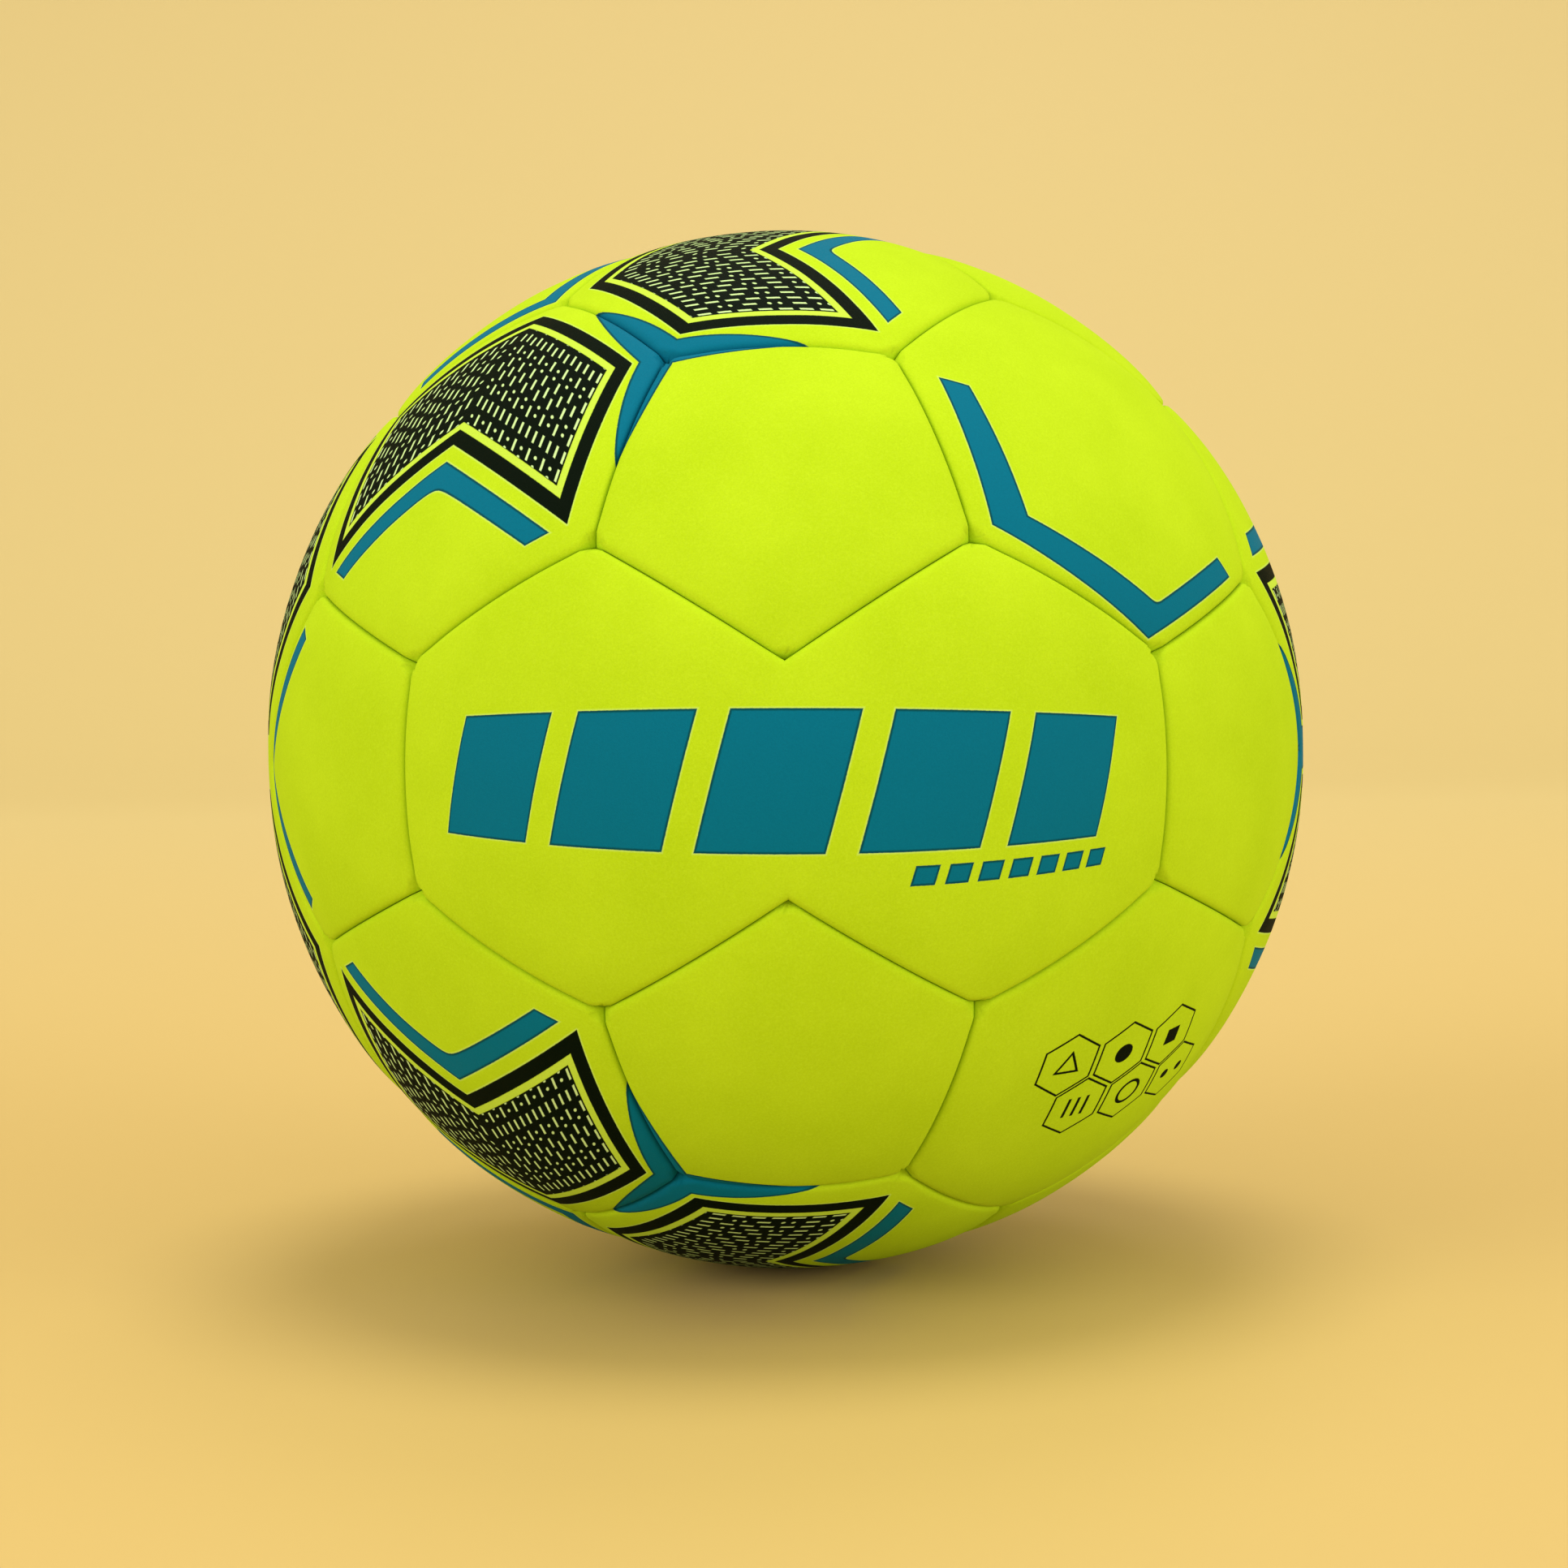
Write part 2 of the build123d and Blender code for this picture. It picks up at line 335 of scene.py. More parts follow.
for place, names in singleHexagons.items():
    middle, turn, ring = hexagonRing(names)
    panel = shapePanel("hexagonPanel_" + place, patterns["hexagon"], turn, [ring])
    panels["hexagon_panel_" + place] = (middle, panel)
for place, (first, second, third, fourth) in doubleHexagons.items():
    halves = [hexagonRing((first, second, other)) for other in (third, fourth)]
    middle = (halves[0][0] + halves[1][0]).normalized()
    turn = turnTo(middle, halves[0][0])
    rings = [half[2] for half in halves]
    panel = shapePanel("doublePanel_" + place, patterns["double"], turn, rings, withValve=place == "back")
    panels["double_panel_" + place] = (middle, panel)
for pattern in patterns.values():
    onlySelected(pattern)
    bpy.ops.object.delete()
for node, (middle, panel) in panels.items():
    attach(panel, "root")
    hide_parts(node)
print("panels shaped:", len(panels))


# Materials. A Wire is one socket of one recipe, so that sums with it add Math nodes.
class Wire:
    def __init__(self, recipe, socket):
        self.recipe, self.socket = recipe, socket

    def __add__(self, other):
        return self.recipe.maths("ADD", self, other)

    def __sub__(self, other):
        return self.recipe.maths("SUBTRACT", self, other)

    def __rsub__(self, other):
        return self.recipe.maths("SUBTRACT", other, self)

    def __mul__(self, other):
        return self.recipe.maths("MULTIPLY", self, other)

    def __truediv__(self, other):
        return self.recipe.maths("DIVIDE", self, other)

    def __pow__(self, other):
        return self.recipe.maths("POWER", self, other)

    def __abs__(self):
        return self.recipe.maths("ABSOLUTE", self)

    def __neg__(self):
        return self * -1

    def wrapped(self, period):  # runs from 0 to the period, again and again
        return self.recipe.maths("FLOORED_MODULO", self, period)

    __radd__, __rmul__ = __add__, __mul__


class Recipe:  # the nodes of one material
    def __init__(self, name, **finish):
        self.material = bpy.data.materials.new(name)
        self.material.use_nodes = True
        self.nodes = self.material.node_tree.nodes
        self.shader = self.nodes["Principled BSDF"]
        for socket, value in finish.items():
            self.shader.inputs[socket.replace("_", " ")].default_value = value
        self.place = self.node("ShaderNodeTexCoord", result="Object")

    def node(self, kind, settings=None, sockets=None, result=0):
        node = self.nodes.new(kind)
        for name, value in (settings or {}).items():
            setattr(node, name, value)
        for name, value in (sockets or {}).items():
            self.join(value, node.inputs[name])
        return Wire(self, node.outputs[result])

    def join(self, value, socket):
        if isinstance(value, Wire):
            self.material.node_tree.links.new(value.socket, socket)
        else:
            socket.default_value = value

    def feed(self, **sockets):
        for name, value in sockets.items():
            self.join(value, self.shader.inputs[name.replace("_", " ")])

    def maths(self, operation, *values, clamp=False):
        return self.node("ShaderNodeMath", {"operation": operation, "use_clamp": clamp}, dict(enumerate(values)))

    def highest(self, first, *others):
        for other in others:
            first = self.maths("MAXIMUM", first, other)
        return first

    def lowest(self, first, *others):
        for other in others:
            first = self.maths("MINIMUM", first, other)
        return first

    def mix(self, share, first, second):
        return self.node("ShaderNodeMix", {"data_type": "RGBA"}, {0: share, 6: first, 7: second}, 2)

    def along(self, direction):  # distance along a direction, as a share of the metre
        return self.node("ShaderNodeVectorMath", {"operation": "DOT_PRODUCT"},
                         {0: self.place, 1: tuple(direction)}, "Value")

    def noise(self, size, detail=2.0, roughness=0.5):  # size in mm
        return self.node("ShaderNodeTexNoise", None, {"Vector": self.place, "Scale": 1 / (size * mm),
                                                      "Detail": detail, "Roughness": roughness})

    def bump(self, height, distance, strength=1.0):
        return self.node("ShaderNodeBump", None, {"Strength": strength, "Distance": distance * mm,
                                                  "Height": height}, "Normal")

    def onPanel(self, middle, towards):  # mm across a panel from its middle, the first axis towards a direction
        turn = turnTo(middle, towards)
        down = self.along(turn.col[2])
        return [self.along(turn.col[axis]) / down * (ballRadius / mm) for axis in (0, 1)]


def linear(*shares):
    return (*shares, 1.0)


feltFinish = {
    "yellow": linear(0.445, 0.635, 0.010),
    "shade": linear(0.395, 0.575, 0.006),
    "pale": linear(0.52, 0.71, 0.03),
    "teal": linear(0.0002, 0.132, 0.215),
    "tealRim": linear(0.0002, 0.045, 0.050),
    "black": linear(0.0006, 0.0040, 0.0004),
    "line": linear(0.47, 0.66, 0.05),
    "glow": linear(0.58, 0.80, 0.24),
    "dash": linear(0.52, 0.72, 0.30),
    "mottleSize": 24.0,      # mm
    "speckleSize": 0.55,
    "napSize": 0.32,
    "napHeight": 0.10,
    "mottleContrast": (2.2, -0.75),
    "speckleContrast": (2.6, -1.15),
    "speckleShare": 0.34,
    "napTone": (0.3, 0.85),
    "roughness": 0.80,
    "roughnessRange": 0.16,
    "printRoughness": 0.13,  # how much smoother the ink is than the felt
    "printSoftness": 0.16,   # mm over which an ink's edge fades
    "fray": 0.16,
    "rimWidth": 0.42,        # mm, the darker rim inside an ink's edge
    "rimSoftness": 0.3,
    "rimShare": 0.85,
    "halo": 0.45,            # mm, the paler felt outside an ink's edge
    "haloShare": 0.5,
}


sideCosine, sideSine = 0.866, 0.5   # of 30 degrees, for the sides of a hexagon


class FeltRecipe(Recipe):
    def __init__(self, name):
        super().__init__(name, Roughness=0.88, Specular_IOR_Level=0.05)
        felt = feltFinish
        self.speckle = self.noise(felt["speckleSize"], 3.0, 0.65)
        self.mottle = self.noise(felt["mottleSize"], 3.0, 0.55)
        self.nap = self.noise(felt["napSize"], 4.0, 0.7)
        mottled = self.maths("MULTIPLY_ADD", self.mottle, *felt["mottleContrast"], clamp=True)
        speckled = self.maths("MULTIPLY_ADD", self.speckle, *felt["speckleContrast"], clamp=True)
        self.colour = self.mix(mottled, felt["shade"], felt["yellow"])
        self.colour = self.mix(speckled * felt["speckleShare"], self.colour, felt["pale"])
        self.wobble = (self.speckle - 0.5) * felt["fray"]
        self.printed = None

    def within(self, edge, softness=feltFinish["printSoftness"]):  # 1 where a distance is below zero
        return self.maths("MULTIPLY_ADD", edge, -1 / softness, 0.5, clamp=True)

    def ink(self, edge, colour, rim=None, halo=False):  # the edge is a distance in mm, below zero inside the print
        felt = feltFinish
        edge = edge + self.wobble
        mask = self.within(edge)
        if halo:
            glow = self.maths("MULTIPLY_ADD", edge, -1 / felt["halo"], 1.0, clamp=True)
            self.colour = self.mix(glow * felt["haloShare"], self.colour, felt["glow"])
        self.colour = self.mix(mask, self.colour, colour)
        if rim:
            core = self.within(edge + felt["rimWidth"], felt["rimSoftness"])
            self.colour = self.mix(mask * (1 - core) * felt["rimShare"], self.colour, rim)
        self.printed = mask if self.printed is None else self.highest(self.printed, mask)
        return mask

    def finish(self):
        felt = feltFinish
        tone = self.maths("MULTIPLY_ADD", self.nap, *felt["napTone"])
        self.colour = self.node("ShaderNodeVectorMath", {"operation": "SCALE"}, {0: self.colour, "Scale": tone})
        roughness = felt["roughness"] + self.speckle * felt["roughnessRange"]
        height = self.nap * 0.6 + self.speckle * 0.8
        if self.printed is not None:
            roughness = roughness - self.printed * felt["printRoughness"]
            height = height * (1 - self.printed * 0.35) - self.printed * 0.25
        self.feed(Base_Color=self.colour, Roughness=roughness, Normal=self.bump(height, felt["napHeight"], 0.55))
        return self.material


meshPrint = {
    "outer": 35.5,        # mm from the hexagon's middle to the print's straight sides
    "border": 3.3,
    "line": 1.6,
    "gap": 0.1,
    "columns": 4.35,      # mm between two columns of the same kind
    "dashColumn": 3.75,
    "dotColumn": 1.55,
    "lean": 0.577,        # how far a row falls back from one column to the next
    "dashPitch": 4.13,
    "dashStart": 0.71,
    "dotPitch": 10.0,
    "dotStart": 3.2,
    "dotApart": 1.05,
    "dashLength": 2.7,
    "dashWidth": 0.58,
    "dot": 0.40,
}
chevronPrint = {
    "near": 3.46,
    "far": 8.36,
    "reach": 35.3,
    "innerCorner": 2.0,
}


def printMesh(recipe, middle, openCorner):
    x, y = recipe.onPanel(middle, openCorner)
    size = meshPrint
    beside = abs(y)
    wedge = x * sideCosine - beside * sideSine
    outside = recipe.highest(beside, abs(x) * sideCosine + beside * sideSine) - size["outer"]
    edge = recipe.highest(outside, wedge)
    recipe.ink(edge, feltFinish["black"], halo=True)
    lineMiddle = size["border"] + size["line"] / 2
    recipe.ink(abs(edge + lineMiddle) - size["line"] / 2, feltFinish["line"])
    run = x - beside * size["lean"]
    apart = [abs((run - size[start] + size[pitch] / 2).wrapped(size[pitch]) - size[pitch] / 2)
             for start, pitch in (("dashStart", "dashPitch"), ("dotStart", "dotPitch"))]
    columns = [abs((beside - size[start] + size["columns"] / 2).wrapped(size["columns"]) - size["columns"] / 2)
               for start in ("dashColumn", "dotColumn")]
    half, width = size["dashLength"] / 2, size["dashWidth"] / 2
    row = recipe.highest(columns[0] - width, apart[0] - half)
    single = recipe.highest(columns[1] - width, size["dotPitch"] / 2 - half - apart[1])
    dots = recipe.maths("SQRT", columns[1] * columns[1] + (apart[1] - size["dotApart"]) ** 2) - size["dot"]
    dashes = recipe.lowest(row, single, dots)
    inner = edge + (size["border"] + size["line"] + size["gap"])
    recipe.ink(recipe.highest(dashes, inner), feltFinish["dash"])
    softened = recipe.maths("SQRT", y * y + chevronPrint["innerCorner"] ** 2)
    rounded = x * sideCosine - softened * sideSine
    chevron = recipe.highest(chevronPrint["near"] - wedge, rounded - chevronPrint["far"],
                             x * sideCosine + beside * sideSine - chevronPrint["reach"])
    recipe.ink(chevron, feltFinish["teal"], feltFinish["tealRim"], halo=True)


accentPrint = {
    "length": 29.0,
    "hexagonWidth": 4.6,     # mm from the seam to the arm's edge, at its root
    "pentagonWidth": 2.3,
    "taper": 2.0,
    "spread": math.radians(124.3),
}


def printAccent(recipe, corner, towards, width):  # three tapering arms along the seams from one corner
    x, y = recipe.onPanel(corner, towards)
    beside = abs(y)
    arms = []
    for angle in (0, accentPrint["spread"]):
        out = x * math.cos(angle) + beside * math.sin(angle)
        aside = abs(beside * math.cos(angle) - x * math.sin(angle))
        taper = 1 - recipe.highest(out / accentPrint["length"], 0) ** accentPrint["taper"]
        arms.append(recipe.highest(aside - taper * width, out - accentPrint["length"], -out))
    recipe.ink(recipe.lowest(*arms), feltFinish["teal"], feltFinish["tealRim"])


pentagonPrint = {
    "inset": 3.0,
    "width": 5.0,
    "short": 8.0,
}


def printPentagon(recipe, middle, corner):  # a chevron beside the two seams that meet at a corner
    x, y = recipe.onPanel(middle, corner)
    apothem = pentagonReach * math.cos(math.pi / 5) * ballRadius / mm
    halfSide = pentagonReach * math.sin(math.pi / 5) * ballRadius / mm
    cos, sin = math.cos(math.pi / 5), math.sin(math.pi / 5)
    inset = apothem - (x * cos + abs(y) * sin)
    band = abs(inset - pentagonPrint["inset"] - pentagonPrint["width"] / 2) - pentagonPrint["width"] / 2
    alongSeam = abs(y) * cos - x * sin
    recipe.ink(recipe.highest(band, alongSeam - halfSide + pentagonPrint["short"]), feltFinish["teal"],
               feltFinish["tealRim"], halo=True)


bandPrint = {
    "outer": ((23.4, -30.5), (43.0, 0.4), (25.2, 38.5), (-12.3, 38.4)),
    "inner": ((20.0, -24.7), (34.7, 3.4), (18.6, 33.0), (-9.9, 33.0)),
    "innerCorner": 2.0,
}


def sideOf(x, y, start, end):  # distance to the right of a line between two places
    length = math.dist(start, end)
    across, up = (end[1] - start[1]) / length, (start[0] - end[0]) / length
    return x * across + y * up - (start[0] * across + start[1] * up)


def printBand(recipe, middle, corner):
    x, y = recipe.onPanel(middle, corner)
    outer, inner = bandPrint["outer"], bandPrint["inner"]
    outside = recipe.highest(*(sideOf(x, y, *ends) for ends in zip(outer, outer[1:])))
    first, second, third = (sideOf(x, y, *ends) for ends in zip(inner, inner[1:]))
    rounded = recipe.maths("SMOOTH_MAX", second, third, bandPrint["innerCorner"])
    inside = recipe.highest(first, rounded)
    ends = recipe.highest(sideOf(x, y, inner[0], outer[0]), sideOf(x, y, outer[-1], inner[-1]))
    recipe.ink(recipe.highest(outside, -inside, ends), feltFinish["teal"], feltFinish["tealRim"], halo=True)


badgePrint = {
    "apothem": 6.6,
    "line": 0.5,
    "rows": ((8.6, (16.0, 1.3, -13.4)), (-3.5, (8.9, -5.8, -20.5))),
    "triangle": 1.6,
    "disc": 2.3,
    "square": 2.0,
    "barPitch": 2.4,
    "barWide": 0.8,
    "barReach": (2.6, 3.4),
    "ring": 2.9,
    "dot": 1.2,
    "dotAside": 2.6,
}


def printBadges(recipe, middle, corner):  # six small outlined hexagons with plain shapes in them
    x, y = recipe.onPanel(middle, corner)
    size = badgePrint
    shapes = []
    for row, (rowPlace, columnPlaces) in enumerate(size["rows"]):
        for column, columnPlace in enumerate(columnPlaces):
            up, side = x - rowPlace, y - columnPlace
            fromMiddle = recipe.maths("SQRT", up * up + side * side)
            outline = recipe.highest(abs(side), abs(up) * sideCosine + abs(side) * sideSine) - size["apothem"]
            shapes.append(abs(outline) - size["line"] / 2)
            if (row, column) == (0, 0):
                triangle = recipe.highest(abs(side) * 0.87 + up * 0.5, -up) - size["triangle"]
                shapes.append(abs(triangle) - 0.3)
            elif (row, column) == (0, 1):
                shapes.append(fromMiddle - size["disc"])
            elif (row, column) == (0, 2):
                shapes.append(recipe.highest(abs(up), abs(side)) - size["square"])
            elif (row, column) == (1, 0):
                pitch, (upReach, sideReach) = size["barPitch"], size["barReach"]
                bars = abs((side + pitch * 1.5).wrapped(pitch) - pitch / 2) - size["barWide"] / 2
                shapes.append(recipe.highest(bars, abs(up) - upReach, abs(side) - sideReach))
            elif (row, column) == (1, 1):
                shapes.append(abs(fromMiddle - size["ring"]) - 0.4)
            else:
                aside = abs(side) - size["dotAside"]
                shapes.append(recipe.maths("SQRT", up * up + aside ** 2) - size["dot"])
    recipe.ink(recipe.lowest(*shapes), feltFinish["black"])


emblemPrint = {
    "tilt": math.radians(-0.8),
    "left": -77.0,
    "right": 72.5,
    "halfHeight": 13.4,
    "period": 30.6,
    "bar": 24.4,
    "lean": 0.26,
    "smallLeft": 23.0,
    "smallMiddle": -18.2,
    "smallHalfHeight": 2.0,
    "smallPeriod": 7.07,
    "smallBar": 5.0,
}


def printEmblem(recipe, middle, towards, gap=0.0):  # five leaning bars and a row of small ones under them
    x, y = recipe.onPanel(middle, towards)
    size = emblemPrint
    cos, sin = math.cos(size["tilt"]), math.sin(size["tilt"])
    x, y = x * cos + y * sin, y * cos - x * sin
    lean = x - y * size["lean"]
    cell = abs((lean - (size["left"] - 1)).wrapped(size["period"]) - size["period"] / 2)
    bars = recipe.highest(cell - size["bar"] / 2, abs(y) - size["halfHeight"],
                          abs(lean - (size["left"] + size["right"]) / 2) - (size["right"] - size["left"]) / 2 - 2)
    if gap:
        bars = recipe.highest(bars, gap - abs(lean))
    recipe.ink(bars, feltFinish["teal"], feltFinish["tealRim"], halo=True)
    smallLean = x - (y - size["smallMiddle"]) * size["lean"]
    small = abs((smallLean - size["smallLeft"]).wrapped(size["smallPeriod"]) - size["smallPeriod"] / 2)
    middlePlace = (size["smallLeft"] + size["right"]) / 2
    recipe.ink(recipe.highest(small - size["smallBar"] / 2, abs(y - size["smallMiddle"]) - size["smallHalfHeight"],
                              abs(x - middlePlace) - (size["right"] - size["smallLeft"]) / 2), feltFinish["teal"],
               feltFinish["tealRim"])


valvePrint = {
    "ring": 9.5,
    "width": 1.6,
}


def printValveRing(recipe, middle, towards):
    x, y = recipe.onPanel(middle, towards)
    out = recipe.maths("SQRT", x * x + y * y)
    recipe.ink(abs(out - valvePrint["ring"]) - valvePrint["width"] / 2, feltFinish["teal"])


recipes = {node: FeltRecipe("felt_" + node) for node in panels}


def panelOver(*names):  # the panel in whose outline the middle of these pentagons is
    middle = sum((pentagons[name] for name in names), Vector()).normalized()
    place = next((place for place, trio in singleHexagons.items() if set(trio) == set(names)), None)
    if place:
        return "hexagon_panel_" + place, middle
    place = next(place for place, four in doubleHexagons.items() if set(names) <= set(four))
    return "double_panel_" + place, middle


clusters = {  # each print cluster runs from one pentagon to the next one
    "front_top": "top_left",
    "front_bottom": "bottom_left",
    "right_front": "right_back",
    "back_top": "top_right",
    "back_bottom": "bottom_right",
    "left_back": "left_front",
}


def areNeighbours(first, second):
    return first != second and (pentagons[first] - pentagons[second]).length < 1.2


for near, far in clusters.items():
    root, tip = cornerBy(near, far), cornerBy(far, near)
    flanks = [name for name in pentagons if areNeighbours(name, near) and areNeighbours(name, far)]
    printAccent(recipes["pentagon_panel_" + near], root, tip, accentPrint["pentagonWidth"])
    done = set()
    for flank in flanks:
        node, middle = panelOver(near, far, flank)
        printMesh(recipes[node], middle, cornerBy(flank, near))
        if node not in done:
            printAccent(recipes[node], root, tip, accentPrint["hexagonWidth"])
        done.add(node)
    printPentagon(recipes["pentagon_panel_" + far], pentagons[far], tip)
for trio in (("front_top", "right_front", "top_right"), ("back_top", "left_back", "top_left")):
    node, middle = panelOver(*trio)
    printBand(recipes[node], middle, cornerBy(trio[0], trio[1]))
for trio in (("front_bottom", "right_front", "bottom_right"), ("back_bottom", "left_back", "bottom_left")):
    node, middle = panelOver(*trio)
    printBadges(recipes[node], middle, cornerBy(trio[1], trio[0]))
printEmblem(recipes["double_panel_front"], Vector((0, -1, 0)), Vector((1, 0, 0)))
printEmblem(recipes["double_panel_back"], Vector((0, 1, 0)), Vector((-1, 0, 0)), 15.6)
printValveRing(recipes["double_panel_back"], Vector((0, 1, 0)), Vector((-1, 0, 0)))
for node, (middle, panel) in panels.items():
    panel.data.materials.clear()
    panel.data.materials.append(recipes[node].finish())
print("felt printed:", len(recipes))


def dress(material, *nodes):
    for node in nodes:
        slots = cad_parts[node].data.materials
        slots.clear()
        slots.append(material)


foamFinish = {
    "pale": linear(0.78, 0.74, 0.62),
    # painted shade: the darker colour laid into the sunken middles of the foam's cells
    "poreShade": linear(0.52, 0.47, 0.36),
    "cell": 0.9,     # mm
}
foam = Recipe("foamBacking", Roughness=0.95)
# The cells' sunken middles take the deep colour, which is painted shade in the pores, made stronger in random
# patches; their raised walls stay pale.
cells = foam.node("ShaderNodeTexVoronoi", {"feature": "DISTANCE_TO_EDGE"},
                  {"Vector": foam.place, "Scale": 1 / (foamFinish["cell"] * mm)}, "Distance")
poreHollows = foam.maths("MULTIPLY_ADD", cells, 4.0, 0.0, clamp=True)
shadePatches = foam.noise(14.0, 3.0)
foam.feed(Base_Color=foam.mix(poreHollows * (0.6 + shadePatches * 0.6), foamFinish["pale"], foamFinish["poreShade"]),
          Roughness=0.97 - poreHollows * 0.1, Normal=foam.bump(1 - poreHollows, 0.18, 0.8))
dress(foam.material, "double_foam_backings", "hexagon_foam_backings", "pentagon_foam_backings")

liningFinish = {
    "warp": linear(0.74, 0.75, 0.72),
    "shadow": linear(0.36, 0.37, 0.36),
    "thread": 0.7,   # mm between two threads
}
lining = Recipe("polyesterLining", Roughness=0.82, Sheen_Weight=0.15)
pitch = liningFinish["thread"] * mm
down = lining.along((0, 0, 1))
around = lining.maths("ARCTAN2", lining.along((0, 1, 0)), lining.along((1, 0, 0))) * ballRadius
warp = abs((around / pitch).wrapped(1.0) - 0.5) * 2
weft = abs((down / pitch).wrapped(1.0) - 0.5) * 2
weave = lining.highest(1 - warp, 1 - weft)
wear = lining.noise(20.0, 3.0)
lining.feed(Base_Color=lining.mix(weave * (0.65 + wear * 0.5), liningFinish["shadow"], liningFinish["warp"]),
            Roughness=0.9 - weave * 0.15, Normal=lining.bump(weave, 0.2, 0.7))
dress(lining.material, "lining")

bladderFinish = {
    "rubber": linear(0.055, 0.05, 0.048),
    "talc": linear(0.32, 0.31, 0.30),
}
bladder = Recipe("bladderRubber", Roughness=0.55, Specular_IOR_Level=0.4)
dust = bladder.maths("MULTIPLY_ADD", bladder.noise(9.0, 6.0, 0.7), 3.2, -1.5, clamp=True)
fine = bladder.noise(0.8, 3.0)
bladder.feed(Base_Color=bladder.mix(dust * (0.25 + fine * 0.4), bladderFinish["rubber"], bladderFinish["talc"]),
             Roughness=0.42 + dust * 0.4, Normal=bladder.bump(fine + dust * 0.5, 0.06, 0.5))
dress(bladder.material, "bladder")

threadFinish = {
    "light": linear(0.70, 0.72, 0.30),
    # painted shade: the darker colour in the grooves between the twisted plies
    "grooveShade": linear(0.36, 0.40, 0.10),
    "ply": 0.55,     # mm from one twisted ply to the next
}
thread = Recipe("seamThread", Roughness=0.5, Sheen_Weight=0.2)
twist = thread.node("ShaderNodeTexWave", {"wave_type": "BANDS", "bands_direction": "DIAGONAL"},
                    {"Vector": thread.place, "Scale": 1 / (threadFinish["ply"] * mm * 6),
                     "Distortion": 2.5, "Detail": 2.0})
fuzz = thread.noise(0.25, 3.0)
# The plies' raised bands take the light colour, and the grooves between them take the dark one, which is painted
# shade; the fuzz adds random tone.
thread.feed(Base_Color=thread.mix(twist * 0.7 + fuzz * 0.3, threadFinish["grooveShade"], threadFinish["light"]),
            Roughness=0.45 + fuzz * 0.3, Normal=thread.bump(twist + fuzz * 0.4, 0.12, 0.8))
dress(thread.material, "seam_thread")

valveFinish = {
    "rubber": linear(0.013, 0.013, 0.013),
    "worn": linear(0.055, 0.054, 0.053),
    "core": linear(0.08, 0.078, 0.075),
}
for name, body, node in (("valveRubber", "rubber", "valve_body"), ("valveCoreRubber", "core", "valve_core")):
    valve = Recipe(name, Roughness=0.5, Specular_IOR_Level=0.45)
    grain = valve.noise(0.35, 4.0, 0.6)
    bloom = valve.maths("MULTIPLY_ADD", valve.noise(5.0, 4.0), 2.4, -1.0, clamp=True)
    valve.feed(Base_Color=valve.mix(bloom * 0.4 + grain * 0.15, valveFinish[body], valveFinish["worn"]),
               Roughness=0.4 + grain * 0.25 + bloom * 0.1, Normal=valve.bump(grain, 0.05, 0.6))
    dress(valve.material, node)
print("inner parts dressed")

# Stage: a plain pale floor that rises smoothly behind the ball.
stageValues = {
    "colour": linear(0.60, 0.42, 0.135),
    "grain": linear(0.56, 0.39, 0.12),
    "far": linear(0.71, 0.56, 0.235),
    "width": 24.0,
    "front": -12.0,
    "back": 3.2,
    "wall": 5.0,
    "curve": 1.6,
    "segments": 16,
}


def selectEdges(piece, wanted):  # the edges with both ends where they are wanted
    mesh = piece.data
    chosen = [wanted(vertex.co) for vertex in mesh.vertices]
    mesh.vertices.foreach_set("select", chosen)
    mesh.polygons.foreach_set("select", [False] * len(mesh.polygons))
    mesh.edges.foreach_set("select", [all(chosen[end] for end in edge.vertices) for edge in mesh.edges])


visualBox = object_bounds()
bpy.ops.object.select_all(action="DESELECT")
depth = stageValues["back"] - stageValues["front"]
bpy.ops.mesh.primitive_plane_add(size=1, location=(0, (stageValues["back"] + stageValues["front"]) / 2,
                                                   visualBox[0].z))
floor = bpy.context.object
floor.name = "studioFloor"
floor.scale = (stageValues["width"], depth, 1)
bpy.ops.object.transform_apply(location=True, rotation=True, scale=True)
bpy.ops.object.mode_set(mode="EDIT")
bpy.ops.mesh.select_mode(type="EDGE")
bpy.ops.object.mode_set(mode="OBJECT")
selectEdges(floor, lambda place: place.y > 0)   # the far side, which becomes the wall
bpy.ops.object.mode_set(mode="EDIT")
bpy.ops.mesh.extrude_edges_move(TRANSFORM_OT_translate={"value": (0, 0, stageValues["wall"])})
bpy.ops.object.mode_set(mode="OBJECT")
selectEdges(floor, lambda place: place.y > 0 and place.z < 0)   # the fold between floor and wall
bpy.ops.object.mode_set(mode="EDIT")
bpy.ops.mesh.bevel(offset=stageValues["curve"], segments=stageValues["segments"])
bpy.ops.object.mode_set(mode="OBJECT")
bpy.ops.object.shade_smooth()
paint = Recipe("floorPaint", Roughness=0.55)
cloud = paint.noise(900.0, 2.0)
behind = paint.maths("MULTIPLY_ADD", paint.along((0, 1, 0)), 0.8, -0.1, clamp=True)
near = paint.mix(cloud, stageValues["grain"], stageValues["colour"])
paint.feed(Base_Color=paint.mix(behind, near, stageValues["far"]), Roughness=0.5 + cloud * 0.1)
floor.data.materials.append(paint.material)

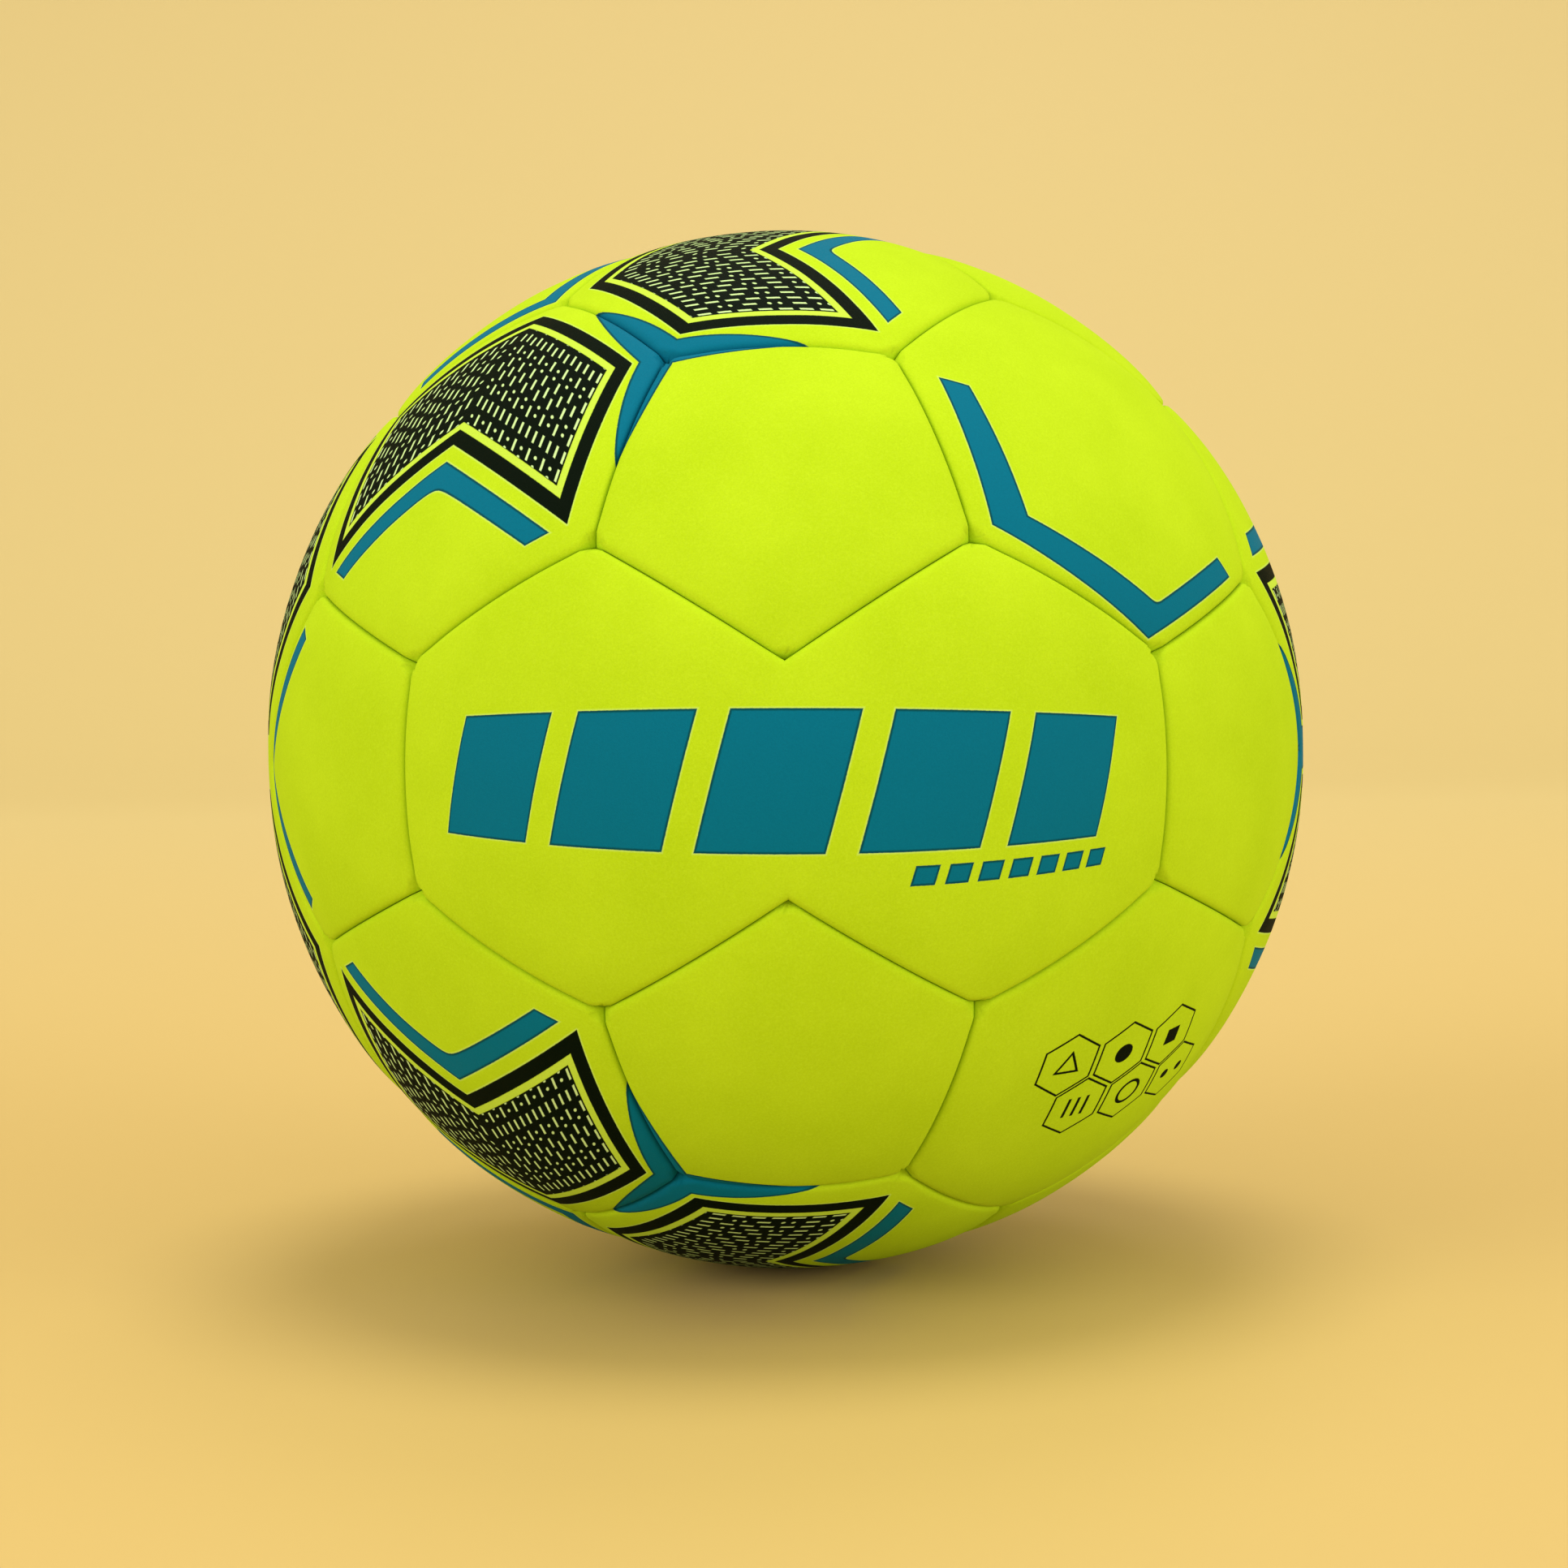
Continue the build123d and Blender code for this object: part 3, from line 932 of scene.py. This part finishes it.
lightValues = {
    "key": {"place": (-1.9, -1.5, 0.8), "size": 1.5, "power": 25, "colour": (1.0, 1.0, 0.98)},
    "fill": {"place": (2.0, -1.4, 0.55), "size": 1.3, "power": 22, "colour": (1.0, 1.0, 0.96)},
    "top": {"place": (0.1, 0.0, 2.0), "size": 0.9, "power": 17, "colour": (1.0, 0.98, 0.93)},
    "back": {"place": (0.4, 2.0, 3.2), "size": 1.2, "power": 12, "colour": (1.0, 1.0, 0.97)},
}
ballCentre = (cadBox[0] + cadBox[1]) / 2
for name, light in lightValues.items():
    place = Vector(light["place"])
    bpy.ops.object.light_add(type="AREA", location=place)
    lamp = bpy.context.object
    lamp.name = name + "Light"
    lamp.rotation_euler = (ballCentre - place).to_track_quat("-Z", "Y").to_euler()
    lamp.data.shape = "DISK"
    lamp.data.size = light["size"]
    lamp.data.energy = light["power"]
    lamp.data.color = light["colour"]
world = bpy.data.worlds.new("studioWorld")
bpy.context.scene.world = world
world.use_nodes = True
world.node_tree.nodes["Background"].inputs["Color"].default_value = linear(1.0, 0.95, 0.84)
world.node_tree.nodes["Background"].inputs["Strength"].default_value = 0.95

cameraValues = {
    "distance": 0.6993,       # m from the ball's middle
    "height": 2.985,         # degrees above the ball's middle
    "aimBelow": 0.601,
    "aimLeft": 0.038,
    "roll": -0.855,
    "lens": 74.19,
}
height = math.radians(cameraValues["height"])
bpy.ops.object.camera_add(location=ballCentre + cameraValues["distance"] * Vector((0, -math.cos(height),
                                                                                  math.sin(height))))
camera = bpy.context.object
camera.name = "studioCamera"
aim = Matrix.Rotation(math.radians(cameraValues["aimLeft"]), 3, "Z") @ Matrix.Rotation(
    math.radians(90 - cameraValues["height"] - cameraValues["aimBelow"]), 3, "X")
roll = Matrix.Rotation(math.radians(cameraValues["roll"]), 3, "Z")
camera.rotation_euler = (aim @ roll).to_euler()
camera.data.lens = cameraValues["lens"]
bpy.context.scene.camera = camera
bpy.context.scene.view_settings.view_transform = "Standard"
print("stage, lights and camera set")
